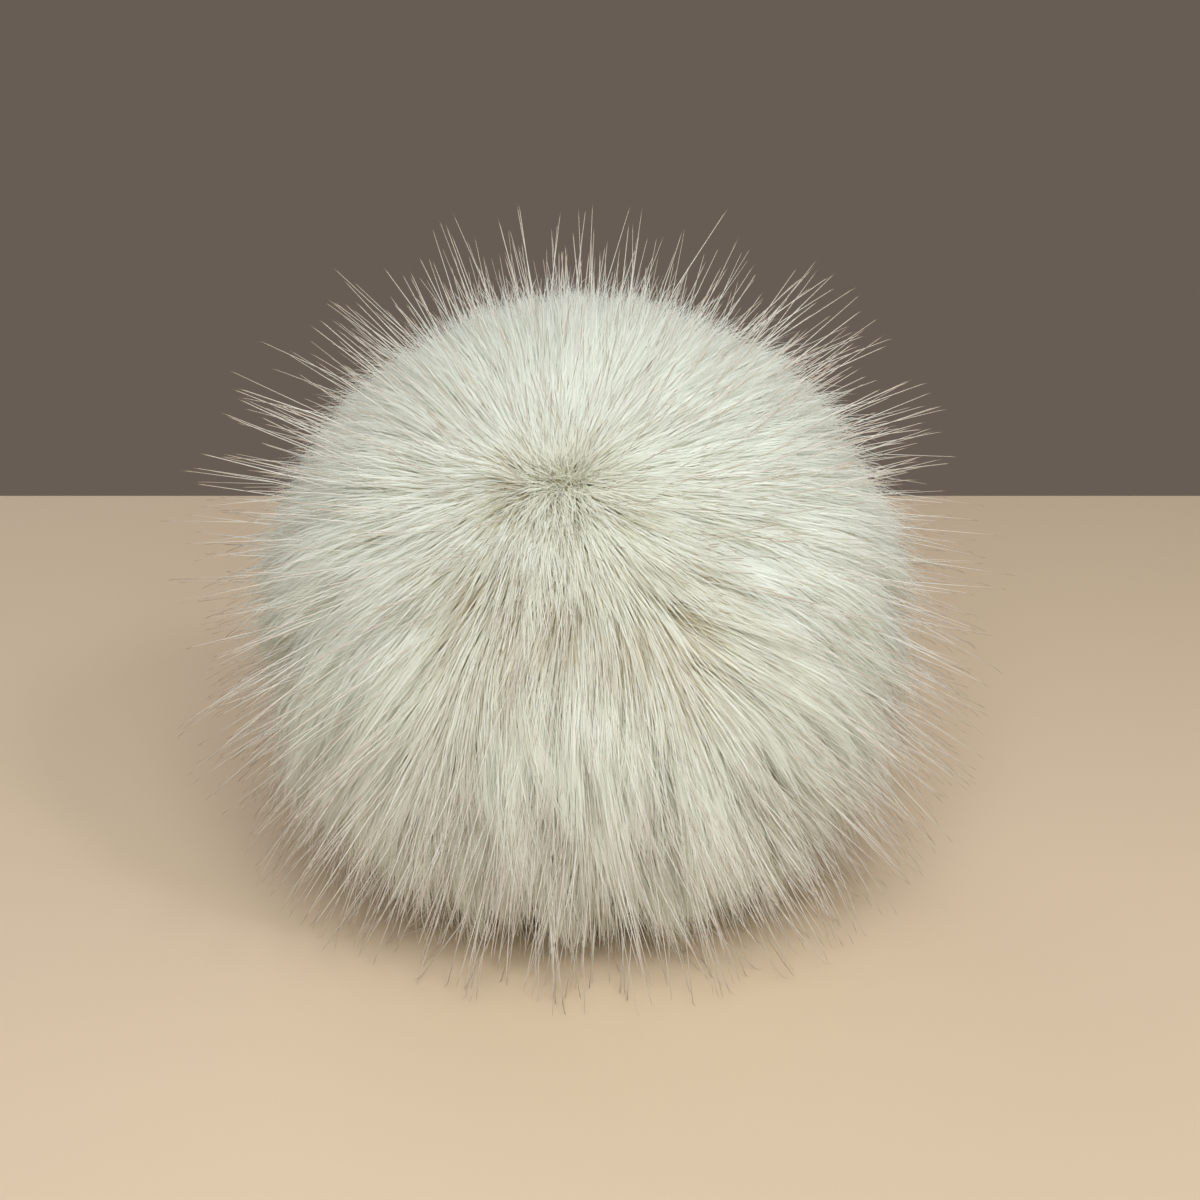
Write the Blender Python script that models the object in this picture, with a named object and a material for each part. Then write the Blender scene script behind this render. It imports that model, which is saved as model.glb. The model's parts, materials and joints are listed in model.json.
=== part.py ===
"""Faux-fur pom pom: one ball of gathered fur with a whorl, partings between its locks and a flat foot."""

import math

import bmesh
import bpy
from mathutils import Matrix, Vector

# Driving dimensions, in metres and degrees. The pile leaves a whorl on the front of the ball and
# lies in locks that run from it, over the ball and down to the far side.
PILE_RADIUS = 0.054
MIDDLE_HEIGHT = 0.046
WHORL_RISE_DEG = 41.0
WHORL_TURN_DEG = 7.0
WHORL_DEPTH = 0.0035
WHORL_REACH_DEG = 16.0

# Locks: how many stand round the whorl in each set, how far they stand proud and where each set starts.
LOCK_SETS = [
    {"count": 9, "rise": 0.0003, "start_deg": 74.0, "twist": 0.6},
    {"count": 16, "rise": 0.0004, "start_deg": 23.0, "twist": -0.9},
    {"count": 23, "rise": 0.0003, "start_deg": 151.0, "twist": 1.7},
]

# Partings: how far round the whorl each lies, clockwise from straight down as the whorl is faced, how far
# over the ball its deepest point is, its depth, and how wide and long it is.
PARTINGS = [
    {"round_deg": 26.0, "over_deg": 34.0, "depth": 0.0020, "wide_deg": 5.0, "long_deg": 17.0},
    {"round_deg": 72.0, "over_deg": 62.0, "depth": 0.0010, "wide_deg": 5.0, "long_deg": 18.0},
    {"round_deg": 146.0, "over_deg": 66.0, "depth": 0.0028, "wide_deg": 5.0, "long_deg": 17.0},
    {"round_deg": 205.0, "over_deg": 58.0, "depth": 0.0009, "wide_deg": 6.0, "long_deg": 20.0},
    {"round_deg": 268.0, "over_deg": 70.0, "depth": 0.0010, "wide_deg": 5.0, "long_deg": 18.0},
    {"round_deg": 318.0, "over_deg": 33.0, "depth": 0.0022, "wide_deg": 6.0, "long_deg": 16.0},
    {"round_deg": 350.0, "over_deg": 66.0, "depth": 0.0012, "wide_deg": 5.0, "long_deg": 15.0},
]

MERIDIANS = 96
RINGS = 46
MERGE_GAP = 0.00001
CREAM_WHITE = (0.72, 0.70, 0.62, 1.0)
FUR_ROUGHNESS = 0.85
FOOT_EDGE_DEG = 40.0


def clear_scene():
    """Removes whatever the scene holds, so that the part stands in it alone."""
    for old in list(bpy.data.objects):
        bpy.data.objects.remove(old, do_unlink=True)


def new_collection(name):
    """Returns a new collection, linked to the scene."""
    collection = bpy.data.collections.new(name)
    bpy.context.scene.collection.children.link(collection)
    return collection


def fur_material():
    """Returns the plain cream-white finish of the fur."""
    material = bpy.data.materials.new("cream_fur")
    material.use_nodes = True
    shader = material.node_tree.nodes["Principled BSDF"]
    shader.inputs["Base Color"].default_value = CREAM_WHITE
    shader.inputs["Roughness"].default_value = FUR_ROUGHNESS
    shader.inputs["Metallic"].default_value = 0.0
    return material


def bell(offset, width):
    """Returns a soft hump of height 1 at an offset of 0, which dies away past the width."""
    return math.exp(-((offset / width) ** 2))


def turn_between(turn, middle):
    """Returns the shorter turn from one bearing to another, in degrees."""
    return (turn - middle + 180.0) % 360.0 - 180.0


def pile_reach(over, around):
    """Returns how far the pile reaches from the ball's middle.

    over is the angle from the whorl and around the bearing round it, both in radians.
    """
    over_deg = math.degrees(over)
    around_deg = math.degrees(around)
    reach = PILE_RADIUS - WHORL_DEPTH * bell(over_deg, WHORL_REACH_DEG)
    spread = math.sin(over) ** 2
    for locks in LOCK_SETS:
        phase = locks["count"] * around + math.radians(locks["start_deg"]) + locks["twist"] * over
        reach += locks["rise"] * spread * math.sin(phase)
    for parting in PARTINGS:
        across = turn_between(around_deg, parting["round_deg"]) * math.sin(over)
        along = over_deg - parting["over_deg"]
        trough = bell(across, parting["wide_deg"]) * bell(along, parting["long_deg"])
        reach -= parting["depth"] * trough
    return reach


def whorl_frame():
    """Returns the matrix that takes +Z to the whorl's axis and +X to the bearing straight down from it."""
    rise = math.radians(WHORL_RISE_DEG)
    turn = math.radians(WHORL_TURN_DEG)
    axis = Vector((-math.sin(turn) * math.cos(rise), -math.cos(turn) * math.cos(rise), math.sin(rise)))
    down = Vector((0.0, 0.0, -1.0))
    bearing = (down - axis * down.dot(axis)).normalized()
    side = axis.cross(bearing)
    return Matrix((bearing, side, axis)).transposed()


def centre_over_origin(shape):
    """Slides the whole shape in X and Y until its box stands centred over the origin."""
    for axis in (0, 1):
        places = [vertex.co[axis] for vertex in shape.verts]
        middle = (min(places) + max(places)) / 2.0
        for vertex in shape.verts:
            vertex.co[axis] -= middle


def make_ball(collection):
    """Returns the pom pom: a sphere whose pole is the whorl, shaped by its pile and cut flat at its foot."""
    mesh = bpy.data.meshes.new("pom_pom")
    shape = bmesh.new()
    bmesh.ops.create_uvsphere(shape, u_segments=MERIDIANS, v_segments=RINGS, radius=1.0)
    turned = whorl_frame()
    middle = Vector((0.0, 0.0, MIDDLE_HEIGHT))
    for vertex in shape.verts:
        over = math.acos(max(-1.0, min(1.0, vertex.co.z)))
        around = -math.atan2(vertex.co.y, vertex.co.x)
        vertex.co = middle + turned @ vertex.co.normalized() * pile_reach(over, around)
    everything = shape.verts[:] + shape.edges[:] + shape.faces[:]
    cut = bmesh.ops.bisect_plane(
        shape,
        geom=everything,
        dist=MERGE_GAP,
        plane_co=(0.0, 0.0, 0.0),
        plane_no=(0.0, 0.0, 1.0),
        clear_inner=True,
    )
    rim = [item for item in cut["geom_cut"] if isinstance(item, bmesh.types.BMEdge)]
    bmesh.ops.holes_fill(shape, edges=rim, sides=0)
    bmesh.ops.remove_doubles(shape, verts=shape.verts[:], dist=MERGE_GAP)
    bmesh.ops.recalc_face_normals(shape, faces=shape.faces[:])
    centre_over_origin(shape)
    shape.to_mesh(mesh)
    shape.free()
    mesh.materials.append(fur_material())
    mesh.shade_smooth()
    mesh.set_sharp_from_angle(angle=math.radians(FOOT_EDGE_DEG))
    ball = bpy.data.objects.new("pom_pom", mesh)
    collection.objects.link(ball)
    return ball


def main():
    """Builds the pom pom."""
    clear_scene()
    make_ball(new_collection("faux_fur_pom_pom"))


main()
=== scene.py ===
"""A cream-white faux-fur pom pom, resting on its flattened foot.

The fur grows in layers from one combed surface: a dense undercoat, a fluff of short fibres, four depths
of pile and the long guard hairs. Lengths are in metres and angles in degrees.
"""

import json
import logging
import math
from dataclasses import dataclass, field
from enum import Enum

import bmesh
import bpy
import numpy as np
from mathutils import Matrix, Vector

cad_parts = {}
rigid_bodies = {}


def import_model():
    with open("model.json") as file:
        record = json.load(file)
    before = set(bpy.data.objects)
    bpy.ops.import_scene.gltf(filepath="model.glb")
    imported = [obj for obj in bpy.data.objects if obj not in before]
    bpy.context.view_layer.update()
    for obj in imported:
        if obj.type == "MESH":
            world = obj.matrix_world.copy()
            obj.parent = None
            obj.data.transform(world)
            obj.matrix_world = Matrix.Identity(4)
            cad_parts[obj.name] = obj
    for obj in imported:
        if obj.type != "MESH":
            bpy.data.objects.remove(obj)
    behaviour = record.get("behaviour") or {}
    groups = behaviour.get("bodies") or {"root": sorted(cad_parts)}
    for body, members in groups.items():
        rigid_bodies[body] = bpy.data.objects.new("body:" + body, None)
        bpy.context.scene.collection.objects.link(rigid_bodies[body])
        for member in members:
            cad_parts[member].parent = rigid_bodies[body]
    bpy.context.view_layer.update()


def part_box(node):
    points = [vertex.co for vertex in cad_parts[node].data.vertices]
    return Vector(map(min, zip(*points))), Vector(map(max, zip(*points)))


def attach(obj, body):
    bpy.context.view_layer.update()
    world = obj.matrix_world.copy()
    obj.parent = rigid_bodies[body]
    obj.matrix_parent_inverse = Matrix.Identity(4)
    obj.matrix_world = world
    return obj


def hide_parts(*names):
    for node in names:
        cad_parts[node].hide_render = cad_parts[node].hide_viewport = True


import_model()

LOG = logging.getLogger("pom_pom")
MM = 0.001
CAD_NODE = "pom_pom"
BODY = "root"

# Node kinds that are used again and again.
MATHS = "ShaderNodeMath"
VECTORS = "ShaderNodeVectorMath"
STORED = "GeometryNodeInputNamedAttribute"
SPLIT = "ShaderNodeSeparateXYZ"
RANGE = "ShaderNodeMapRange"

Colour = tuple[float, float, float, float]
Feed = bpy.types.Node | bpy.types.NodeSocket | float | tuple | str
Feeds = dict[str, Feed]


def linear(colour: str) -> Colour:
    """Turns an sRGB colour into the linear one that a shader takes.

    Args:
        colour: The colour as six hex digits after a hash.

    Returns:
        Red, green, blue and an alpha of 1, all linear.
    """
    # The standard sRGB curve is straight near black and a power above that.
    shares = [int(colour[at : at + 2], 16) / 255.0 for at in (1, 3, 5)]
    lit = [s / 12.92 if s <= 0.04045 else ((s + 0.055) / 1.055) ** 2.4 for s in shares]
    return (lit[0], lit[1], lit[2], 1.0)


def add_node(tree: bpy.types.NodeTree, kind: str, feeds: dict | tuple = (), **settings) -> bpy.types.Node:
    """Adds a node with its settings and links.

    Args:
        tree: The tree that takes the node.
        kind: The node's type name.
        feeds: What its inputs get, in order, or by name or place in a dict: a value, a socket, or a
            node, which stands for its first output.
        **settings: The node's own properties.

    Returns:
        The new node.
    """
    node = tree.nodes.new(kind)
    for name, value in settings.items():
        setattr(node, name, value)
    for key, value in feeds.items() if isinstance(feeds, dict) else enumerate(feeds):
        if isinstance(value, bpy.types.Node):
            value = value.outputs[0]
        if isinstance(value, bpy.types.NodeSocket):
            tree.links.new(value, node.inputs[key])
        else:
            node.inputs[key].default_value = value
    return node


def show(name: str, mesh: bpy.types.Mesh) -> bpy.types.Object:
    """Returns a new object that shows a mesh at the origin."""
    made = bpy.data.objects.new(name, mesh)
    bpy.context.scene.collection.objects.link(made)
    return made


@dataclass(frozen=True)
class FurFinish:
    """Acrylic faux-fur fibre, spun, dyed cream and lightly crimped.

    Such fibre is silky and lets light through, so the fur glows from within and has no hard shade. A
    strand is cream at its root and turns white towards its tip. Its stored tone, from 0 to 1, says how
    bright it is, and makes it beiger from BEIGE_BELOW down to BEIGE_FROM.

    root, middle, tip and beige are sRGB colours. root_end and middle_end are the shares of a strand's
    length where those colours stand. dull is the share of its colour that the dullest strand keeps,
    and through the share of the light that passes into the strand and out behind it.
    """

    name: str
    root: str
    middle: str
    tip: str
    beige: str
    roughness: float
    dull: float = 0.9
    root_end: float = 0.1
    middle_end: float = 0.5
    through: float = 0.62

    BEIGE_FROM = 0.05
    BEIGE_BELOW = 0.5

    def build(self) -> bpy.types.Material:
        """Builds the material from the strands' stored tone and place along.

        Returns:
            The material.
        """
        material = bpy.data.materials.new(self.name)
        material.use_nodes = True
        tree = material.node_tree
        tree.nodes.clear()
        along = add_node(tree, "ShaderNodeAttribute", attribute_name="along").outputs["Fac"]
        tone = add_node(tree, "ShaderNodeAttribute", attribute_name="tone").outputs["Fac"]
        ramp = add_node(tree, "ShaderNodeValToRGB", (along,))
        stops = ramp.color_ramp.elements
        stops[0].position, stops[0].color = self.root_end, linear(self.root)
        stops[1].position, stops[1].color = 1.0, linear(self.tip)
        stops.new(self.middle_end).color = linear(self.middle)
        feeds = {"Value": tone, "From Min": self.BEIGE_FROM, "From Max": self.BEIGE_BELOW}
        white = add_node(tree, RANGE, feeds)
        dyed = add_node(tree, "ShaderNodeMix", {0: white, 6: linear(self.beige), 7: ramp}, data_type="RGBA")
        level = add_node(tree, RANGE, {"Value": tone, "To Min": self.dull, "To Max": 1.0})
        feeds = {0: dyed.outputs[2], "Scale": level}
        colour = add_node(tree, VECTORS, feeds, operation="SCALE")
        feeds = {"Base Color": colour, "Roughness": self.roughness}
        fibre = add_node(tree, "ShaderNodeBsdfPrincipled", feeds)
        glow = add_node(tree, "ShaderNodeBsdfTranslucent", (colour,))
        both = add_node(tree, "ShaderNodeMixShader", (self.through, fibre, glow))
        add_node(tree, "ShaderNodeOutputMaterial", (both,))
        return material


# The short fibres stay matt and creamier, because crimp scatters the light among them.
CRIMPED_FLUFF = FurFinish(
    name="crimped_acrylic_fluff",
    root="#f1ecda",
    middle="#f4f2e3",
    tip="#f6f8ed",
    beige="#e4dcc3",
    roughness=0.8,
    through=0.5,
)

# The inner pile lies in the shade of the outer pile and shows between its wisps.
CREAMY_PILE = FurFinish(
    name="creamy_acrylic_pile",
    root="#f2eedd",
    middle="#f6f6ea",
    tip="#f8faf0",
    beige="#e4dcc3",
    roughness=0.6,
)

# The outer pile is combed and heat-polished, so it shines softly along each wisp.
SILKY_PILE = FurFinish(
    name="silky_acrylic_pile",
    root="#f4f1e1",
    middle="#f9fbf2",
    tip="#fafdf6",
    beige="#e7dfc8",
    roughness=0.3,
    through=0.52,
)

# The guard hairs are thicker, straight and glossy. They catch single bright glints. Their beige tips are
# partly the hairs' own tipping and partly painted shade, since hairs in shadow over the floor look darker,
# and they show against a pale surface.
GLOSSY_GUARD_HAIR = FurFinish(
    name="glossy_acrylic_guard_hair",
    root="#f3efe2",
    middle="#faf8f0",
    tip="#d9cbb8",
    beige="#e7dfc8",
    roughness=0.2,
    middle_end=0.6,
    through=0.4,
)


@dataclass(frozen=True)
class MattedRoots:
    """Matted roots of acrylic fibre: dry and dull, and mottled where tufts meet the knitted backing."""

    name: str = "matted_fibre_roots"
    dark: str = "#e9e4d0"
    light: str = "#f3f1e2"
    dark_end: float = 0.3
    light_start: float = 0.7
    mottle: float = 0.8 * MM
    roughness: float = 0.9

    def build(self) -> bpy.types.Material:
        """Builds the material.

        Returns:
            The material.
        """
        material = bpy.data.materials.new(self.name)
        material.use_nodes = True
        tree = material.node_tree
        place = add_node(tree, "ShaderNodeTexCoord").outputs["Object"]
        noise = add_node(tree, "ShaderNodeTexNoise", {"Vector": place, "Scale": 1.0 / self.mottle})
        ramp = add_node(tree, "ShaderNodeValToRGB", (noise,))
        stops = ramp.color_ramp.elements
        stops[0].position, stops[0].color = self.dark_end, linear(self.dark)
        stops[1].position, stops[1].color = self.light_start, linear(self.light)
        shader = tree.nodes["Principled BSDF"]
        shader.inputs["Roughness"].default_value = self.roughness
        tree.links.new(ramp.outputs[0], shader.inputs["Base Color"])
        return material


@dataclass(frozen=True)
class PaleBoard:
    """Pale matt board, for the floor: even and without gloss, so that only the fur draws the eye."""

    name: str = "pale_matt_board"
    colour: str = "#d9c3a5"
    roughness: float = 0.7

    def build(self) -> bpy.types.Material:
        """Builds the material.

        Returns:
            The material.
        """
        material = bpy.data.materials.new(self.name)
        material.use_nodes = True
        shader = material.node_tree.nodes["Principled BSDF"]
        shader.inputs["Base Color"].default_value = linear(self.colour)
        shader.inputs["Roughness"].default_value = self.roughness
        return material


def bell(offset: np.ndarray, width: float) -> np.ndarray:
    """Returns a soft hump of height 1 at an offset of 0, which dies away past the width."""
    return np.exp(-((offset / width) ** 2))


def progress(values: np.ndarray, ends: tuple[float, float]) -> np.ndarray:
    """Returns how far each value has come from the first end, at 0, to the second, at 1."""
    start, end = ends
    return np.clip((values - start) / (end - start), 0.0, 1.0)


def ball_mesh(name: str, fineness: int) -> tuple[bpy.types.Mesh, np.ndarray]:
    """Makes a ball of even triangles.

    Args:
        name: The mesh's name.
        fineness: How often its faces are divided.

    Returns:
        The mesh, and the outward directions of its points, one a row.
    """
    mesh = bpy.data.meshes.new(name)
    shape = bmesh.new()
    bmesh.ops.create_icosphere(shape, subdivisions=fineness, radius=1.0)
    shape.to_mesh(mesh)
    shape.free()
    out = np.empty(len(mesh.vertices) * 3)
    mesh.vertices.foreach_get("co", out)
    out = out.reshape(-1, 3)
    return mesh, out / np.linalg.norm(out, axis=1, keepdims=True)


@dataclass(frozen=True)
class Parting:
    """A place where the pile falls to both sides and lets its roots show.

    round_deg is how far round the whorl it lies, clockwise from straight down, and over_deg how far over
    the ball its middle is. wide_deg and long_deg are its reach to each side and each end, push is how
    hard the pile leans away from it, and bare the share of strands that are missing along its middle.
    """

    round_deg: float
    over_deg: float
    wide_deg: float
    long_deg: float
    push: float
    bare: float


@dataclass(frozen=True)
class Whorl:
    """The point on the front that the pile grows away from.

    line_deg is half the length of the short line that stands for the point, and calm the sine of the
    angle from it inside which the pile stands up. messy_deg is how far out its strands lie crossed.
    There the backing is gathered up by mound, the strands lose the share shortened of their length and the
    share loose of their gathers, and crowding is how many more of them stand there.
    """

    rise_deg: float = 41.0
    turn_deg: float = 7.0
    line_deg: float = 2.5
    calm: float = 0.07
    messy_deg: float = 10.0
    mound: float = 7.0 * MM
    shortened: float = 0.5
    loose: float = 0.6
    crowding: float = 2.5

    def axis(self) -> Vector:
        """Returns the direction from the ball's middle to the whorl."""
        rise, turn = math.radians(self.rise_deg), math.radians(self.turn_deg)
        return Vector((-math.sin(turn) * math.cos(rise), -math.cos(turn) * math.cos(rise), math.sin(rise)))

    def bearings(self) -> tuple[Vector, Vector]:
        """Finds the ways to look round the whorl.

        Returns:
            The direction straight down from the whorl, and the one a quarter turn clockwise.
        """
        axis = self.axis()
        down = Vector((0.0, 0.0, -1.0))
        below = (down - axis * down.dot(axis)).normalized()
        return below, below.cross(axis)

    def nearness(self, out: np.ndarray) -> np.ndarray:
        """Returns how near the whorl each outward direction is, from 1 on it down to 0."""
        over = np.degrees(np.arccos(np.clip(out @ np.array(self.axis()), -1.0, 1.0)))
        return bell(over, self.messy_deg)


@dataclass(frozen=True)
class BeigePatch:
    """The patch under the whorl where beige roots show between the white wisps.

    over_deg and round_deg say where its middle is, as on a parting, and wide_deg how soon it fades.
    """

    over_deg: float = 14.0
    round_deg: float = -8.0
    wide_deg: float = 18.0
    strength: float = 1.0

    def middle(self, whorl: Whorl) -> Vector:
        """Returns the direction from the ball's middle to the patch."""
        below, clockwise = whorl.bearings()
        over, around = math.radians(self.over_deg), math.radians(self.round_deg)
        way = below * math.cos(around) + clockwise * math.sin(around)
        return whorl.axis() * math.cos(over) + way * math.sin(over)


@dataclass(frozen=True)
class BallSizes:
    """The ball's middle and how far its body of pile reaches, worked out from the box of its solid."""

    middle: Vector
    radius: float

    @classmethod
    def from_frame(cls, node: str) -> "BallSizes":
        """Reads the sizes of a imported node.

        Args:
            node: The node's name.

        Returns:
            The sizes.
        """
        low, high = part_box(node)
        radius = (high[0] - low[0]) / 2.0
        middle = Vector(((low[0] + high[0]) / 2.0, (low[1] + high[1]) / 2.0, high[2] - radius))
        return cls(middle=middle, radius=radius)


@dataclass
class CombedScalp:
    """The surface that the strands grow from, with the way they are combed stored at its points.

    It is a guide only, and is removed when the layers are made. Its stored values are comb, the way that
    a strand leans, cover, how many strands stand there, reach, their relative length, mess, how crossed
    they lie, warmth, how beige they are, drawn, how tightly their tips draw together, and filled, how
    full the short fibres stand between the wisps.

    sag is how hard the strands hang down. Each band is two heights over the ball's middle, as shares of
    its radius, between which something comes in: at the top the gathers fall to the share loose_top, low
    down they grow by the share tight_low, the share open_low of the filling goes and the roots turn beiger
    by low_root_shade, a painted shade for the darker lower side of the ball, and at the foot the share
    bare_foot of all strands goes.
    """

    sizes: BallSizes
    whorl: Whorl
    patch: BeigePatch
    partings: tuple[Parting, ...]
    depth: float = 13.2 * MM
    fineness: int = 6
    sag: float = 0.30
    top_band: tuple[float, float] = (0.0, 0.8)
    loose_top: float = 0.1
    low_band: tuple[float, float] = (0.35, -0.25)
    tight_low: float = 0.25
    open_low: float = 0.85
    # Painted shade: low on the ball the roots turn beiger, standing in for the shade on its lower side.
    low_root_shade: float = 0.35
    foot_band: tuple[float, float] = (-0.5, -0.8)
    bare_foot: float = 0.75
    guide: bpy.types.Object = field(init=False)

    # How wide the bare middle of a parting is, as a share of the parting, and how beige its roots are.
    BARE_WIDTH = 0.6
    BARE_WARMTH = 0.5

    def __post_init__(self) -> None:
        """Builds the guide."""
        mesh, out = ball_mesh("scalp", self.fineness)
        reach = self.sizes.radius - self.depth + self.whorl.mound * self.whorl.nearness(out)
        places = np.array(self.sizes.middle) + out * reach[:, None]
        mesh.vertices.foreach_set("co", places.ravel())
        for name, values in self.combing(out).items():
            many = values.ndim == 2
            stored = mesh.attributes.new(name, "FLOAT_VECTOR" if many else "FLOAT", "POINT")
            stored.data.foreach_set("vector" if many else "value", values.ravel())
        mesh.update()
        self.guide = show("scalp", mesh)

    def away_from_whorl(self, out: np.ndarray) -> np.ndarray:
        """Finds the way over the surface that leads from the whorl.

        Args:
            out: The outward directions of the points, one a row.

        Returns:
            The way at each point, 1 long except close to the whorl, where it dies away.
        """
        axis = np.array(self.whorl.axis())
        clockwise = np.array(self.whorl.bearings()[1])
        reach = math.sin(math.radians(self.whorl.line_deg))
        start = axis + np.clip(out @ clockwise, -reach, reach)[:, None] * clockwise
        start /= np.linalg.norm(start, axis=1, keepdims=True)
        away = np.sum(out * start, axis=1)[:, None] * out - start
        return away / np.maximum(np.linalg.norm(away, axis=1), self.whorl.calm)[:, None]

    def combing(self, out: np.ndarray) -> dict[str, np.ndarray]:
        """Works out how the pile is combed.

        Args:
            out: The outward directions of the points, one a row.

        Returns:
            The stored values by name.
        """
        whorl = self.whorl
        axis, patch = np.array(whorl.axis()), np.array(self.patch.middle(whorl))
        below, clockwise = (np.array(way) for way in whorl.bearings())
        over = np.degrees(np.arccos(np.clip(out @ axis, -1.0, 1.0)))
        around = np.degrees(np.arctan2(out @ clockwise, out @ below))
        across_way = np.cross(out, axis)
        across_way /= np.maximum(np.linalg.norm(across_way, axis=1), whorl.calm)[:, None]
        down = np.array((0.0, 0.0, -1.0))
        comb = self.away_from_whorl(out) + self.sag * (down - (out @ down)[:, None] * out)
        centre = whorl.nearness(out)
        cover = 1.0 + whorl.crowding * centre
        from_patch = np.degrees(np.arccos(np.clip(out @ patch, -1.0, 1.0)))
        warmth = self.patch.strength * bell(from_patch, self.patch.wide_deg)
        for parting in self.partings:
            turn = (around - parting.round_deg + 180.0) % 360.0 - 180.0
            side = turn * np.sin(np.radians(over)) / parting.wide_deg
            near = bell(over - parting.over_deg, parting.long_deg)
            comb += (parting.push * side * bell(side, 1.0) * near)[:, None] * across_way
            cover = cover * (1.0 - parting.bare * bell(side, self.BARE_WIDTH) * near)
            warmth = warmth + self.BARE_WARMTH * parting.bare * bell(side, 1.0) * near
        bands = (self.top_band, self.low_band, self.foot_band)
        high, low, foot = (progress(out[:, 2], band) for band in bands)
        drawn = 1.0 + (self.loose_top - 1.0) * high + self.tight_low * low
        return {
            "comb": comb,
            "cover": cover * (1.0 - self.bare_foot * foot),
            "reach": 1.0 - whorl.shortened * centre,
            "mess": centre,
            # The warmth holds the beige patch, the partings and the painted shade low on the ball.
            "warmth": np.clip(warmth + self.low_root_shade * low, 0.0, 1.0),
            "drawn": drawn * (1.0 - whorl.loose * centre),
            "filled": 1.0 - self.open_low * low,
        }

    def area(self) -> float:
        """Returns the area of the guide."""
        return 4.0 * math.pi * (self.sizes.radius - self.depth) ** 2

    def remove(self) -> None:
        """Removes the guide."""
        bpy.data.objects.remove(self.guide, do_unlink=True)


class StrandShape(Enum):
    """The section of a strand: a flat fibre, or a round hair drawn with three sides."""

    FLAT = "flat"
    ROUND = "round"


@dataclass(frozen=True)
class StrandForm:
    """One strand as a unit: 1 wide and 1 long, from a root on the ground to a point at the top.

    rings is how many sections it has, and last the height of the last one, past which it comes to its
    point.
    """

    shape: StrandShape
    rings: int
    last: float

    def section(self) -> list[tuple[float, float]]:
        """Finds the strand's section.

        Returns:
            The corners of the section, in order round it.
        """
        if self.shape is StrandShape.FLAT:
            return [(0.5, 0.0), (-0.5, 0.0)]
        turns = [math.radians(90.0 + 120.0 * side) for side in range(3)]
        return [(0.5 * math.cos(turn), 0.5 * math.sin(turn)) for turn in turns]

    def build(self) -> bpy.types.Object:
        """Builds the strand from rings of its section and a point.

        Returns:
            The strand as an object.
        """
        shape = bmesh.new()
        corners = self.section()
        heights = [self.last * step / (self.rings - 1) for step in range(self.rings)]
        rings = [[shape.verts.new((x, y, height)) for x, y in corners] for height in heights]
        tip = shape.verts.new((0.0, 0.0, 1.0))
        closed = self.shape is StrandShape.ROUND
        sides = [(side, (side + 1) % len(corners)) for side in range(len(corners) if closed else 1)]
        for lower, upper in zip(rings, rings[1:]):
            for side, beside in sides:
                shape.faces.new((lower[side], lower[beside], upper[beside], upper[side]))
        for side, beside in sides:
            shape.faces.new((rings[-1][side], rings[-1][beside], tip))
        if closed:
            shape.faces.new(rings[0][::-1])
        mesh = bpy.data.meshes.new("strand")
        shape.to_mesh(mesh)
        shape.free()
        return show("strand", mesh)


FLUFF_FIBRE = StrandForm(StrandShape.FLAT, rings=2, last=0.5)
PILE_FIBRE = StrandForm(StrandShape.FLAT, rings=3, last=0.7)
GUARD_HAIR = StrandForm(StrandShape.ROUND, rings=3, last=0.94)


@dataclass(frozen=True)
class Pile:
    """One layer of strands.

    lift is how far out of the scalp its longest tips stand, and lean how far they have gone along the
    comb by then. shortest is the share of that which every strand reaches, scarcity how few reach much
    more, and unevenness how much a wisp or a lock differs from the next. arch is how early a strand has
    risen, where 1 is straight, and bow how late it has leant. The three sways are how far a lock, a
    wisp and a strand stray from the comb, and the two gathers how far strands draw together at their
    tips. roll_deg is how far a strand may turn about its own length, and narrowing the share of its width
    that it loses towards its tip. warmth is how beige it is in the patch. filling is 1 for fibres that
    thin out low on the ball, and less than 0 for those that stand closer there.
    """

    name: str
    form: StrandForm
    finish: FurFinish
    count: int
    seed: int
    lift: float
    lean: float
    width: float
    shortest: float
    scarcity: float = 1.0
    unevenness: float = 0.3
    arch: float = 1.4
    bow: float = 1.1
    lock_sway: float = 0.5
    wisp_sway: float = 0.3
    strand_sway: float = 0.1
    lock_size: float = 8.0 * MM
    wisp_size: float = 3.0 * MM
    lock_gather: float = 0.2
    wisp_gather: float = 0.8
    roll_deg: float = 25.0
    narrowing: float = 0.6
    # warmth also scales the painted shade low on the ball, besides the beige patch and the partings.
    warmth: float = 0.35
    filling: float = 0.0

    def sizes(self) -> dict[str, float]:
        """Lists the numbers that the strand tree takes.

        Returns:
            The numbers by the name of their input.
        """
        return {
            "Lift": self.lift,
            "Lean": self.lean,
            "Width": self.width,
            "Shortest": self.shortest,
            "Scarcity": self.scarcity,
            "Unevenness": self.unevenness,
            "Arch": self.arch,
            "Bow": self.bow,
            "Lock Sway": self.lock_sway,
            "Wisp Sway": self.wisp_sway,
            "Strand Sway": self.strand_sway,
            "Lock Scale": 1.0 / self.lock_size,
            "Wisp Scale": 1.0 / self.wisp_size,
            "Lock Gather": self.lock_gather,
            "Wisp Gather": self.wisp_gather,
            "Roll": math.radians(self.roll_deg),
            "Narrowing": -self.narrowing,
            "Warmth": self.warmth,
            "Filling": self.filling,
        }


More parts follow.
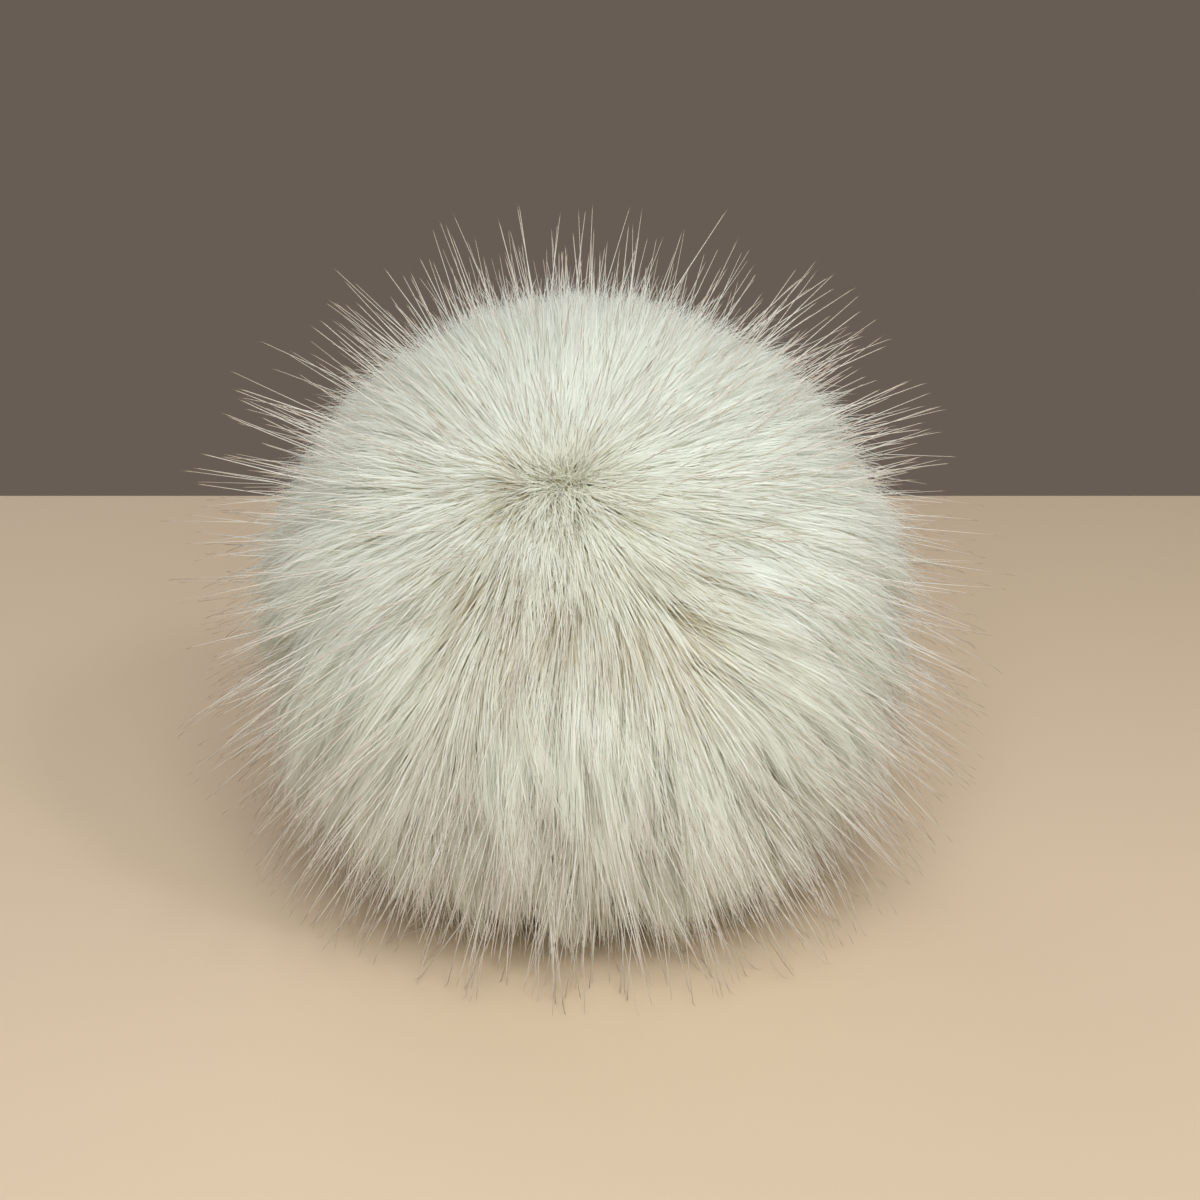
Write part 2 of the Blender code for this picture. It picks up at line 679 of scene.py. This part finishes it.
# The layers from the roots outwards. A real pom pom has perhaps ten times as many strands, each about
# a third as wide, so these are drawn as coarse as they need to be to close the ball.
LAYERS = (
    Pile(
        "fluff",
        FLUFF_FIBRE,
        CRIMPED_FLUFF,
        count=50000,
        seed=3,
        lift=7.6 * MM,
        lean=8.0 * MM,
        width=0.28 * MM,
        shortest=0.65,
        unevenness=0.15,
        arch=1.3,
        wisp_sway=0.8,
        strand_sway=1.3,
        wisp_gather=0.2,
        roll_deg=40.0,
        warmth=1.0,
        filling=1.0,
    ),
    Pile(
        "inner_pile",
        FLUFF_FIBRE,
        CREAMY_PILE,
        count=45000,
        seed=17,
        lift=8.4 * MM,
        lean=13.0 * MM,
        width=0.24 * MM,
        shortest=0.75,
        unevenness=0.2,
        arch=1.5,
        strand_sway=0.5,
        wisp_gather=0.3,
        warmth=1.0,
        filling=1.0,
    ),
    Pile(
        "middle_pile",
        PILE_FIBRE,
        SILKY_PILE,
        count=37000,
        seed=29,
        lift=9.4 * MM,
        lean=13.0 * MM,
        width=0.17 * MM,
        shortest=0.8,
        strand_sway=0.2,
        wisp_gather=0.75,
        warmth=0.6,
    ),
    Pile(
        "outer_pile",
        PILE_FIBRE,
        SILKY_PILE,
        count=38000,
        seed=43,
        lift=10.6 * MM,
        lean=15.0 * MM,
        width=0.14 * MM,
        shortest=0.86,
        unevenness=0.45,
        strand_sway=0.12,
        wisp_gather=0.9,
        warmth=0.3,
    ),
    Pile(
        "surface_pile",
        PILE_FIBRE,
        SILKY_PILE,
        count=37000,
        seed=71,
        lift=14.5 * MM,
        lean=16.0 * MM,
        width=0.12 * MM,
        shortest=0.6,
        scarcity=4.0,
        unevenness=0.45,
        arch=1.3,
        strand_sway=0.25,
        wisp_gather=0.7,
        warmth=0.3,
    ),
    Pile(
        "guard_hairs",
        GUARD_HAIR,
        GLOSSY_GUARD_HAIR,
        count=5600,
        seed=59,
        lift=26.0 * MM,
        lean=9.0 * MM,
        width=0.15 * MM,
        shortest=0.35,
        scarcity=2.0,
        unevenness=0.05,
        arch=1.0,
        bow=1.0,
        lock_sway=0.3,
        wisp_sway=0.5,
        strand_sway=0.5,
        lock_gather=0.0,
        wisp_gather=0.35,
        roll_deg=180.0,
        narrowing=0.1,
        warmth=0.2,
        filling=-0.4,
    ),
)


class StrandTree:
    """The Geometry Nodes tree that grows one layer of strands from the combed surface.

    At each root it first works out what bends the strand, stores that, and puts a unit strand there. The
    strand's points are then moved to their places: outwards by the lift, along the comb by the lean,
    towards the middle of the wisp by the gather, and off the surface that the ball rests on.
    """

    # What stays stored on a finished layer, for its finish and for its map.
    BAKE_MAP = "OFBake"
    KEPT = {"tone", "along", "position", "sharp_face", "material_index", BAKE_MAP}
    OTHER_INPUTS = {
        "Density": "NodeSocketFloat",
        "Middle": "NodeSocketVector",
        "Seed": "NodeSocketInt",
        "Strand": "NodeSocketObject",
        "Finish": "NodeSocketMaterial",
    }
    # What is drawn by chance for each strand, and between which two numbers.
    CHANCES = {
        "growth": (0.0, 1.0),
        "turn": (-1.0, 1.0),
        "width": (0.65, 1.2),
        "tone": (0.45, 0.67),
        "rest_height": (0.1 * MM, 1.2 * MM),
    }
    # How much more a wisp and a strand stray in the middle of the whorl.
    MESSY_WISPS = 0.1
    MESSY_STRANDS = 0.9
    # How much brighter one lock or one wisp may be than another.
    LOCK_TONE = 0.1
    WISP_TONE = 0.23
    # Between which chances a wisp turns from white to beige.
    STREAKS = (0.3, 0.6)
    # How softly a strand settles on what the ball rests on, and how far it slides out for each metre that
    # it is raised.
    SETTLING = 2.0 * MM
    SPLAY = 0.55
    # The map: where the columns of the dullest strand and the row of the roots stand, how far the rest
    # run from them, and how wide one strand's strip is.
    TONE_START = 0.015
    TONE_SPREAD = 0.97
    ROW_START = 0.01
    ROW_SPREAD = 0.98
    STRIP_WIDTH = 0.004

    def __init__(self) -> None:
        """Builds the tree."""
        self.tree = bpy.data.node_groups.new("strands", "GeometryNodeTree")
        face = self.tree.interface
        face.new_socket("Scalp", in_out="INPUT", socket_type="NodeSocketGeometry")
        face.new_socket("Strands", in_out="OUTPUT", socket_type="NodeSocketGeometry")
        kinds = dict.fromkeys(LAYERS[0].sizes(), "NodeSocketFloat") | self.OTHER_INPUTS
        self.ids = {
            name: face.new_socket(name, in_out="INPUT", socket_type=kind).identifier
            for name, kind in kinds.items()
        }
        self.given = add_node(self.tree, "NodeGroupInput").outputs
        points = self.lay_out(self.scatter())
        strands = self.number_points(self.stand_up(points))
        strands = self.bend(strands)
        smooth = add_node(self.tree, "GeometryNodeSetShadeSmooth", {"Geometry": strands})
        feeds = {"Geometry": smooth, "Material": self.given["Finish"]}
        dressed = add_node(self.tree, "GeometryNodeSetMaterial", feeds)
        add_node(self.tree, "NodeGroupOutput", (dressed,))

    def scatter(self) -> bpy.types.Node:
        """Sets a point at each root, more of them where the scalp has more cover.

        Returns:
            The node that gives the points.
        """
        tree, given = self.tree, self.given
        cover = add_node(tree, STORED, {"Name": "cover"}, data_type="FLOAT")
        filled = add_node(tree, STORED, {"Name": "filled"}, data_type="FLOAT")
        filled = add_node(tree, MATHS, (filled, given["Filling"]), operation="POWER")
        density = add_node(tree, MATHS, (given["Density"], cover), operation="MULTIPLY")
        density = add_node(tree, MATHS, (density, filled), operation="MULTIPLY")
        feeds = {"Mesh": given["Scalp"], "Density": density, "Seed": given["Seed"]}
        return add_node(tree, "GeometryNodeDistributePointsOnFaces", feeds, distribute_method="RANDOM")

    def lay_out(self, points: bpy.types.Node) -> bpy.types.Node:
        """Stores at each root what its strand is bent by.

        Args:
            points: The node that gives the roots.

        Returns:
            The node that gives the roots with their stored values.
        """
        tree, given = self.tree, self.given
        chances = {}
        for salt, (name, (low, high)) in enumerate(self.CHANCES.items()):
            feeds = {2: low, 3: high, "Seed": salt}
            chances[name] = add_node(tree, "FunctionNodeRandomValue", feeds, data_type="FLOAT").outputs[1]
        scalars = ("reach", "mess", "warmth", "drawn")
        stored = {name: add_node(tree, STORED, {"Name": name}, data_type="FLOAT") for name in scalars}
        place = add_node(tree, "GeometryNodeInputPosition")
        from_middle = add_node(tree, VECTORS, (place, given["Middle"]), operation="SUBTRACT")
        way, gather, shares = self.stray(place, from_middle, stored)
        share = self.share_of_length(chances, stored, shares)
        lift = add_node(tree, MATHS, (share, given["Lift"]), operation="MULTIPLY")
        lean = add_node(tree, MATHS, (share, given["Lean"]), operation="MULTIPLY")
        lean = add_node(tree, VECTORS, (way, lean), operation="MULTIPLY")
        side, front = self.face(from_middle, lift, lean, chances)
        vectors = {"root": place, "lean": lean, "gather": gather, "side": side, "front": front}
        numbers = {"lift": lift, "tone": self.tint(chances, stored, shares)}
        numbers["rest_height"] = chances["rest_height"]
        for kind, values in (("FLOAT_VECTOR", vectors), ("FLOAT", numbers)):
            for name, value in values.items():
                feeds = {"Geometry": points, "Name": name, "Value": value}
                points = add_node(tree, "GeometryNodeStoreNamedAttribute", feeds, data_type=kind)
        return points

    def stray(self, place: Feed, from_middle: Feed, stored: Feeds) -> tuple[Feed, Feed, dict[str, Feeds]]:
        """Works out how a strand strays from the comb and gathers, with its lock, its wisp and alone.

        Args:
            place: The strand's root.
            from_middle: Its root as seen from the ball's middle.
            stored: What the scalp stores at the root.

        Returns:
            The way that the strand leans, the way that its tip is drawn, and three chances for its lock
            and three for its wisp.
        """
        tree, given = self.tree, self.given
        comb = add_node(tree, STORED, {"Name": "comb"}, data_type="FLOAT_VECTOR")
        depth = add_node(tree, VECTORS, (from_middle,), operation="LENGTH").outputs["Value"]
        half = (0.5, 0.5, 0.5)
        feeds = {0: (-0.5, -0.5, -0.5), 1: half, "Seed": len(self.CHANCES)}
        alone = add_node(tree, "FunctionNodeRandomValue", feeds, data_type="FLOAT_VECTOR")
        feeds = (stored["mess"], self.MESSY_STRANDS, given["Strand Sway"])
        amount = add_node(tree, MATHS, feeds, operation="MULTIPLY_ADD")
        way = add_node(tree, VECTORS, (alone, amount, comb), operation="MULTIPLY_ADD")
        gather: Feed = (0.0, 0.0, 0.0)
        shares = {}
        for name, mess in (("Lock", 0.0), ("Wisp", self.MESSY_WISPS)):
            feeds = {"Vector": place, "Scale": given[f"{name} Scale"]}
            cell = add_node(tree, "ShaderNodeTexVoronoi", feeds, voronoi_dimensions="3D", feature="F1")
            shares[name] = add_node(tree, SPLIT, (cell.outputs["Color"],)).outputs
            off = add_node(tree, VECTORS, (cell.outputs["Color"], half), operation="SUBTRACT")
            feeds = (stored["mess"], mess, given[f"{name} Sway"])
            amount = add_node(tree, MATHS, feeds, operation="MULTIPLY_ADD")
            way = add_node(tree, VECTORS, (off, amount, way), operation="MULTIPLY_ADD")
            feeds = (cell.outputs["Position"], given["Middle"])
            centre = add_node(tree, VECTORS, feeds, operation="SUBTRACT")
            centre = add_node(tree, VECTORS, (centre,), operation="NORMALIZE")
            level = add_node(tree, VECTORS, (centre, depth), operation="MULTIPLY")
            pull = add_node(tree, VECTORS, (level, from_middle), operation="SUBTRACT")
            feeds = (pull, given[f"{name} Gather"], gather)
            gather = add_node(tree, VECTORS, feeds, operation="MULTIPLY_ADD")
        gather = add_node(tree, VECTORS, (gather, stored["drawn"]), operation="MULTIPLY")
        return way, gather, shares

    def share_of_length(self, chances: Feeds, stored: Feeds, shares: dict[str, Feeds]) -> bpy.types.Node:
        """Works out the share of its full length that a strand has.

        Args:
            chances: What is drawn by chance for the strand.
            stored: What the scalp stores at its root.
            shares: The chances for its lock and its wisp.

        Returns:
            The node that gives the share.
        """
        tree, given = self.tree, self.given
        uneven = add_node(tree, MATHS, (shares["Lock"]["X"], shares["Wisp"]["Y"]), operation="ADD")
        uneven = add_node(tree, MATHS, (uneven, 1.0), operation="SUBTRACT")
        amount = add_node(tree, MATHS, (given["Unevenness"], stored["drawn"]), operation="MULTIPLY")
        uneven = add_node(tree, MATHS, (uneven, amount, 1.0), operation="MULTIPLY_ADD")
        grown = add_node(tree, MATHS, (chances["growth"], given["Scarcity"]), operation="POWER")
        grown = add_node(tree, RANGE, {"Value": grown, "To Min": given["Shortest"], "To Max": 1.0})
        share = add_node(tree, MATHS, (stored["reach"], uneven), operation="MULTIPLY")
        return add_node(tree, MATHS, (share, grown), operation="MULTIPLY")

    def face(self, from_middle: Feed, lift: Feed, lean: Feed, chances: Feeds) -> tuple[Feed, Feed]:
        """Turns a strand's flat side outwards, less a turn by chance about its own length.

        Args:
            from_middle: The strand's root as seen from the ball's middle.
            lift: How far its tip rises.
            lean: The way that its tip leans.
            chances: What is drawn by chance for it.

        Returns:
            The ways of its flat side and of its front, each as long as the strand is wide.
        """
        tree, given = self.tree, self.given
        out = add_node(tree, VECTORS, (from_middle,), operation="NORMALIZE")
        run = add_node(tree, VECTORS, (out, lift, lean), operation="MULTIPLY_ADD")
        run = add_node(tree, VECTORS, (run,), operation="NORMALIZE")
        flat = add_node(tree, VECTORS, (out, run), operation="CROSS_PRODUCT")
        flat = add_node(tree, VECTORS, (flat,), operation="NORMALIZE")
        turn = add_node(tree, MATHS, (chances["turn"], given["Roll"]), operation="MULTIPLY")
        feeds = {"Vector": flat, "Axis": run, "Angle": turn}
        flat = add_node(tree, "ShaderNodeVectorRotate", feeds, rotation_type="AXIS_ANGLE")
        width = add_node(tree, MATHS, (given["Width"], chances["width"]), operation="MULTIPLY")
        side = add_node(tree, VECTORS, (flat, width), operation="MULTIPLY")
        return side, add_node(tree, VECTORS, (run, side), operation="CROSS_PRODUCT")

    def tint(self, chances: Feeds, stored: Feeds, shares: dict[str, Feeds]) -> bpy.types.Node:
        """Works out a strand's tone. Beige keeps to some of the wisps, so it shows as streaks.

        Args:
            chances: What is drawn by chance for the strand.
            stored: What the scalp stores at its root.
            shares: The chances for its lock and its wisp.

        Returns:
            The node that gives the tone.
        """
        tree = self.tree
        low, high = self.STREAKS
        streak = {"Value": shares["Wisp"]["Z"], "From Min": low, "From Max": high}
        warm = add_node(tree, RANGE, streak, interpolation_type="SMOOTHSTEP")
        # The stored warmth holds the beige patch, the partings and the painted shade low on the ball.
        for amount in (stored["warmth"], self.given["Warmth"]):
            warm = add_node(tree, MATHS, (warm, amount), operation="MULTIPLY")
        tone = chances["tone"]
        for part, amount in ((shares["Lock"]["Y"], self.LOCK_TONE), (shares["Wisp"]["X"], self.WISP_TONE)):
            tone = add_node(tree, MATHS, (part, amount, tone), operation="MULTIPLY_ADD")
        return add_node(tree, MATHS, (tone, warm), operation="SUBTRACT")

    def stand_up(self, points: bpy.types.Node) -> bpy.types.Node:
        """Puts a unit strand on each root.

        Args:
            points: The node that gives the roots.

        Returns:
            The node that gives the strands as one mesh.
        """
        unit = add_node(self.tree, "GeometryNodeObjectInfo", {"Object": self.given["Strand"]})
        feeds = {"Points": points, "Instance": unit.outputs["Geometry"]}
        placed = add_node(self.tree, "GeometryNodeInstanceOnPoints", feeds)
        return add_node(self.tree, "GeometryNodeRealizeInstances", (placed,))

    def number_points(self, strands: bpy.types.Node) -> bpy.types.Node:
        """Stores at each point of the unit strands how far along, across and through it stands.

        Args:
            strands: The node that gives the unit strands on their roots.

        Returns:
            The node that gives the strands with their stored values.
        """
        place = add_node(self.tree, "GeometryNodeInputPosition")
        root = add_node(self.tree, STORED, {"Name": "root"}, data_type="FLOAT_VECTOR")
        unit = add_node(self.tree, VECTORS, (place, root), operation="SUBTRACT")
        parts = add_node(self.tree, SPLIT, (unit,)).outputs
        for name, value in (("across", parts["X"]), ("deep", parts["Y"]), ("along", parts["Z"])):
            feeds = {"Geometry": strands, "Name": name, "Value": value}
            strands = add_node(self.tree, "GeometryNodeStoreNamedAttribute", feeds, data_type="FLOAT")
        return strands

    def bend(self, strands: bpy.types.Node) -> bpy.types.Node:
        """Moves the strands' points to their places, narrows them and lays out their map.

        Args:
            strands: The node that gives the strands with their stored values.

        Returns:
            The node that gives the finished strands.
        """
        tree, given = self.tree, self.given
        scalars = ("along", "across", "deep", "lift", "tone")
        vectors = ("root", "lean", "gather", "side", "front")
        stored = {}
        for kind, names in (("FLOAT", scalars), ("FLOAT_VECTOR", vectors)):
            stored |= {name: add_node(tree, STORED, {"Name": name}, data_type=kind) for name in names}
        along = stored["along"]
        way = add_node(tree, VECTORS, (stored["root"], given["Middle"]), operation="SUBTRACT")
        height = add_node(tree, VECTORS, (way,), operation="LENGTH").outputs["Value"]
        left = add_node(tree, MATHS, (1.0, along), operation="SUBTRACT")
        left = add_node(tree, MATHS, (left, given["Arch"]), operation="POWER")
        risen = add_node(tree, MATHS, (1.0, left), operation="SUBTRACT")
        height = add_node(tree, MATHS, (stored["lift"], risen, height), operation="MULTIPLY_ADD")
        leant = add_node(tree, MATHS, (along, given["Bow"]), operation="POWER")
        way = add_node(tree, VECTORS, (stored["lean"], leant, way), operation="MULTIPLY_ADD")
        way = add_node(tree, VECTORS, (stored["gather"], along, way), operation="MULTIPLY_ADD")
        way = add_node(tree, VECTORS, (way,), operation="NORMALIZE")
        spot = add_node(tree, VECTORS, (way, height, given["Middle"]), operation="MULTIPLY_ADD")
        taper = add_node(tree, MATHS, (along, along), operation="MULTIPLY")
        taper = add_node(tree, MATHS, (taper, given["Narrowing"], 1.0), operation="MULTIPLY_ADD")
        for place, way in ((stored["across"], stored["side"]), (stored["deep"], stored["front"])):
            offset = add_node(tree, MATHS, (place, taper), operation="MULTIPLY")
            spot = add_node(tree, VECTORS, (way, offset, spot), operation="MULTIPLY_ADD")
        feeds = {"Geometry": strands, "Position": self.above_rest(spot)}
        strands = add_node(tree, "GeometryNodeSetPosition", feeds)

        # The map runs from dull to bright strands across, and from root to tip along.
        column = (stored["tone"], self.TONE_SPREAD, self.TONE_START)
        column = add_node(tree, MATHS, column, operation="MULTIPLY_ADD")
        column = (stored["across"], self.STRIP_WIDTH, column)
        column = add_node(tree, MATHS, column, operation="MULTIPLY_ADD")
        row = add_node(tree, MATHS, (along, self.ROW_SPREAD, self.ROW_START), operation="MULTIPLY_ADD")
        spread = add_node(tree, "ShaderNodeCombineXYZ", (column, row))
        feeds = {"Geometry": strands, "Name": self.BAKE_MAP, "Value": spread}
        settings = {"data_type": "FLOAT2", "domain": "CORNER"}
        return add_node(tree, "GeometryNodeStoreNamedAttribute", feeds, **settings)

    def above_rest(self, spot: bpy.types.Node) -> bpy.types.Node:
        """Keeps a point above the surface that the ball rests on, and splays it outwards along it.

        Args:
            spot: The node that gives the point's place.

        Returns:
            The node that gives its place at rest.
        """
        tree = self.tree
        rest_height = add_node(tree, STORED, {"Name": "rest_height"}, data_type="FLOAT")
        height = add_node(tree, SPLIT, (spot,)).outputs["Z"]
        lifted = add_node(tree, MATHS, (height, rest_height, self.SETTLING), operation="SMOOTH_MAX")
        raised = add_node(tree, MATHS, (lifted, height), operation="SUBTRACT")
        pushed = add_node(tree, MATHS, (raised, self.SPLAY), operation="MULTIPLY")
        outwards = add_node(tree, VECTORS, (spot, self.given["Middle"]), operation="SUBTRACT")
        outwards = add_node(tree, VECTORS, (outwards, (1.0, 1.0, 0.0)), operation="MULTIPLY")
        outwards = add_node(tree, VECTORS, (outwards,), operation="NORMALIZE")
        spot = add_node(tree, VECTORS, (outwards, pushed, spot), operation="MULTIPLY_ADD")
        rise = add_node(tree, "ShaderNodeCombineXYZ", {"Z": raised})
        return add_node(tree, VECTORS, (spot, rise), operation="ADD")

    def grow(self, scalp: CombedScalp, pile: Pile, finish: bpy.types.Material) -> bpy.types.Object:
        """Grows a layer.

        Args:
            scalp: The combed surface.
            pile: The layer's sizes.
            finish: What the strands are made of.

        Returns:
            The layer as a plain mesh object at the origin.
        """
        unit = pile.form.build()
        modifier = scalp.guide.modifiers.new(pile.name, "NODES")
        modifier.node_group = self.tree
        values = pile.sizes() | {
            "Density": pile.count / scalp.area(),
            "Middle": tuple(scalp.sizes.middle),
            "Seed": pile.seed,
            "Strand": unit,
            "Finish": finish,
        }
        for name, value in values.items():
            modifier[self.ids[name]] = value
        graph = bpy.context.evaluated_depsgraph_get()
        mesh = bpy.data.meshes.new_from_object(scalp.guide.evaluated_get(graph))
        mesh.name = pile.name
        scalp.guide.modifiers.remove(modifier)
        bpy.data.objects.remove(unit, do_unlink=True)
        names = [stored.name for stored in mesh.attributes]
        for name in names:
            if name not in self.KEPT and not name.startswith("."):
                mesh.attributes.remove(mesh.attributes[name])
        return show(pile.name, mesh)


@dataclass
class DenseUndercoat:
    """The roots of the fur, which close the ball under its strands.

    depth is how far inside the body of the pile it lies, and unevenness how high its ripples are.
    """

    sizes: BallSizes
    whorl: Whorl
    name: str = "dense_undercoat"
    depth: float = 13.4 * MM
    fineness: int = 5
    unevenness: float = 0.4 * MM

    # The ripples: how close they stand in x, y and z, how far they waver, and where they start.
    RIPPLES = (61.0, 29.0, 53.0)
    WAVER = 3.0
    START = 1.3

    def build(self) -> bpy.types.Object:
        """Builds the undercoat.

        Returns:
            A closed, slightly rippled ball.
        """
        mesh, out = ball_mesh(self.name, self.fineness)
        x, y, z = (out * self.RIPPLES).T
        ripple = np.sin(x + self.WAVER * np.sin(y)) * np.sin(z + self.START)
        reach = self.sizes.radius - self.depth + self.unevenness * ripple
        reach += self.whorl.mound * self.whorl.nearness(out)
        places = np.array(self.sizes.middle) + out * reach[:, None]
        mesh.vertices.foreach_set("co", places.ravel())
        mesh.update()
        mesh.shade_smooth()
        mesh.materials.append(MattedRoots().build())
        return show(self.name, mesh)


@dataclass
class PomPom:
    """The whole pom pom: the undercoat and the layers of fur that grow out of it.

    The partings lie where the solid has its own. fill, the share of the ball that its stuffing takes up, is
    not used.
    """

    sizes: BallSizes
    whorl: Whorl = Whorl()
    patch: BeigePatch = BeigePatch()
    partings: tuple[Parting, ...] = (
        Parting(round_deg=26.0, over_deg=34.0, wide_deg=6.0, long_deg=17.0, push=1.0, bare=0.55),
        Parting(round_deg=72.0, over_deg=62.0, wide_deg=5.0, long_deg=18.0, push=0.7, bare=0.3),
        Parting(round_deg=146.0, over_deg=66.0, wide_deg=6.0, long_deg=17.0, push=0.9, bare=0.35),
        Parting(round_deg=205.0, over_deg=58.0, wide_deg=6.0, long_deg=20.0, push=0.5, bare=0.2),
        Parting(round_deg=268.0, over_deg=70.0, wide_deg=5.0, long_deg=18.0, push=0.6, bare=0.3),
        Parting(round_deg=318.0, over_deg=33.0, wide_deg=7.0, long_deg=16.0, push=1.1, bare=0.6),
        Parting(round_deg=350.0, over_deg=66.0, wide_deg=5.0, long_deg=15.0, push=0.8, bare=0.35),
    )
    fill: float = 0.7

    def build(self) -> list[bpy.types.Object]:
        """Makes the undercoat and every layer, and ties them to the frame.

        Returns:
            The pieces.
        """
        undercoat = DenseUndercoat(self.sizes, self.whorl).build()
        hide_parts(CAD_NODE)
        scalp = CombedScalp(self.sizes, self.whorl, self.patch, self.partings)
        tree = StrandTree()
        finishes = {finish: finish.build() for finish in dict.fromkeys(pile.finish for pile in LAYERS)}
        pieces = [undercoat] + [tree.grow(scalp, pile, finishes[pile.finish]) for pile in LAYERS]
        scalp.remove()
        for piece in pieces:
            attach(piece, BODY)
        return pieces


@dataclass(frozen=True)
class SoftLight:
    """A soft square light that points at the ball.

    place is where it hangs, from the ball's middle.
    """

    name: str
    place: tuple[float, float, float]
    size: float
    watts: float
    colour: str = "#f6faff"

    def build(self, middle: Vector) -> None:
        """Hangs the light.

        Args:
            middle: The ball's middle.
        """
        lamp = bpy.data.lights.new(self.name, "AREA")
        lamp.size = self.size
        lamp.energy = self.watts
        lamp.color = linear(self.colour)[:3]
        made = bpy.data.objects.new(self.name, lamp)
        made.location = middle + Vector(self.place)
        made.rotation_euler = (-Vector(self.place)).to_track_quat("-Z", "Y").to_euler()
        bpy.context.scene.collection.objects.link(made)


@dataclass
class Studio:
    """The plain floor, the soft lights and the camera.

    floor_back is how far the floor reaches behind the ball, where its edge stands as a horizon. The camera
    stands off by distance from a point aim_right and aim_up of the ball's middle. bounces is how often
    light may pass from strand to strand, because pale fur is bright only through many passes.
    """

    sizes: BallSizes
    lights: tuple[SoftLight, ...] = (
        SoftLight("key", (0.10, 0.10, 0.60), size=0.40, watts=0.2),
        SoftLight("fill", (0.02, -0.72, 0.54), size=0.60, watts=9.1),
        SoftLight("side", (0.75, -0.20, 0.40), size=0.60, watts=0.3),
        SoftLight("back", (-0.45, 0.75, 0.50), size=0.60, watts=1.6),
        SoftLight("glint", (0.34, -0.44, 0.46), size=0.08, watts=1.2),
    )
    floor_width: float = 1.6
    floor_back: float = 0.235
    surround: str = "#685d54"
    distance: float = 0.375
    pitch_deg: float = 18.0
    lens: float = 72.0
    aim_right: float = 2.3 * MM
    aim_up: float = 2.3 * MM
    bounces: int = 8

    def build(self) -> None:
        """Sets up the floor, the lights, the surroundings and the camera."""
        self.build_floor()
        for light in self.lights:
            light.build(self.sizes.middle)
        self.build_surroundings()
        self.build_camera()

    def build_floor(self) -> None:
        """Makes the pale floor."""
        mesh = bpy.data.meshes.new("floor")
        shape = bmesh.new()
        bmesh.ops.create_grid(shape, x_segments=1, y_segments=1, size=self.floor_width / 2.0)
        forward = (0.0, self.floor_back - self.floor_width / 2.0, 0.0)
        bmesh.ops.translate(shape, verts=shape.verts, vec=forward)
        shape.to_mesh(mesh)
        shape.free()
        mesh.materials.append(PaleBoard().build())
        show("floor", mesh)

    def build_surroundings(self) -> None:
        """Gives the scene an even mid-toned surround, against which pale hairs show."""
        scene = bpy.context.scene
        world = bpy.data.worlds.new("surround")
        world.use_nodes = True
        back = world.node_tree.nodes["Background"]
        back.inputs["Color"].default_value = linear(self.surround)
        scene.world = world
        scene.view_settings.view_transform = "Standard"
        scene.cycles.max_bounces = self.bounces
        scene.cycles.diffuse_bounces = self.bounces

    def build_camera(self) -> None:
        """Sets the camera in front of the ball, looking down at it."""
        pitch = math.radians(self.pitch_deg)
        back = Vector((0.0, -math.cos(pitch), math.sin(pitch)))
        up = Vector((0.0, math.sin(pitch), math.cos(pitch)))
        aim = self.sizes.middle + Vector((self.aim_right, 0.0, 0.0)) + up * self.aim_up
        lens = bpy.data.cameras.new("camera")
        lens.lens = self.lens
        lens.clip_start = 10.0 * MM
        made = bpy.data.objects.new("camera", lens)
        made.location = aim + back * self.distance
        made.rotation_euler = (-back).to_track_quat("-Z", "Y").to_euler()
        bpy.context.scene.collection.objects.link(made)
        bpy.context.scene.camera = made


def main() -> None:
    """Builds the pom pom and its studio, and logs how many faces each piece has."""
    logging.basicConfig(level=logging.INFO, format="%(name)s: %(message)s")
    sizes = BallSizes.from_frame(CAD_NODE)
    for piece in PomPom(sizes).build():
        LOG.info("%s: %d faces", piece.name, len(piece.data.polygons))
    Studio(sizes).build()
    LOG.info("sizes written")


if __name__ == "__main__":
    main()
